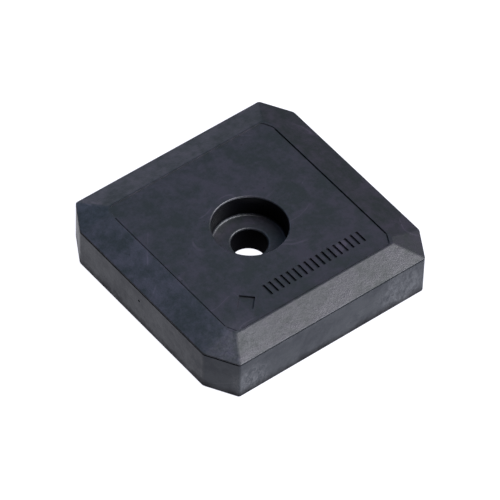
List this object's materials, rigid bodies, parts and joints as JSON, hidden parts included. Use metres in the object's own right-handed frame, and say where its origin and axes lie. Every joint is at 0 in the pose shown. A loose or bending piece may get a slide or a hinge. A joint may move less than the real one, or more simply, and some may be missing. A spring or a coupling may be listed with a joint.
{
  "type": "on-metal RFID hard tag",
  "caption": "Rigid eight-sided transponder block with a bevelled lid and a counterbored screw hole through its middle, for fixing to metal equipment.",
  "frame": {"origin": "middle of the flat back face, on the axis of the screw hole", "axes": "+Z out of the lid along the screw hole, +X along the row of bars, +Y away from the mark"},
  "size_m": [0.05, 0.0492, 0.0104],
  "materials": {
    "tray_plastic": "moulded, fine matt grain, lightly scuffed",
    "lid_plastic": "moulded, fine matt grain",
    "seal_adhesive": "cured bead, satin",
    "core_plastic": "moulded, natural colour",
    "tape": "soft adhesive, satin",
    "carrier_film": "thin film, glossy",
    "antenna_foil": "etched foil, fine rolling lines",
    "loop_foil": "etched copper foil",
    "bump_metal": "plated, satin",
    "silicon": "ground, satin",
    "underfill_resin": "cured resin, glossy",
    "foam": "closed-cell foam, matt"
  },
  "bodies": {
    "root": {"base_tray": "tray_plastic", "cover_shell": "lid_plastic", "seam_adhesive": "seal_adhesive", "column_adhesive": "seal_adhesive", "antenna_core": "core_plastic", "core_tape": "tape", "antenna_film": "carrier_film", "antenna_foil": "antenna_foil", "loop_tape": "tape", "loop_film": "carrier_film", "loop_foil": "loop_foil", "chip_bumps": "bump_metal", "rfid_chip": "silicon", "chip_underfill": "underfill_resin", "cushion_pad": "foam"}
  },
  "joints": []
}
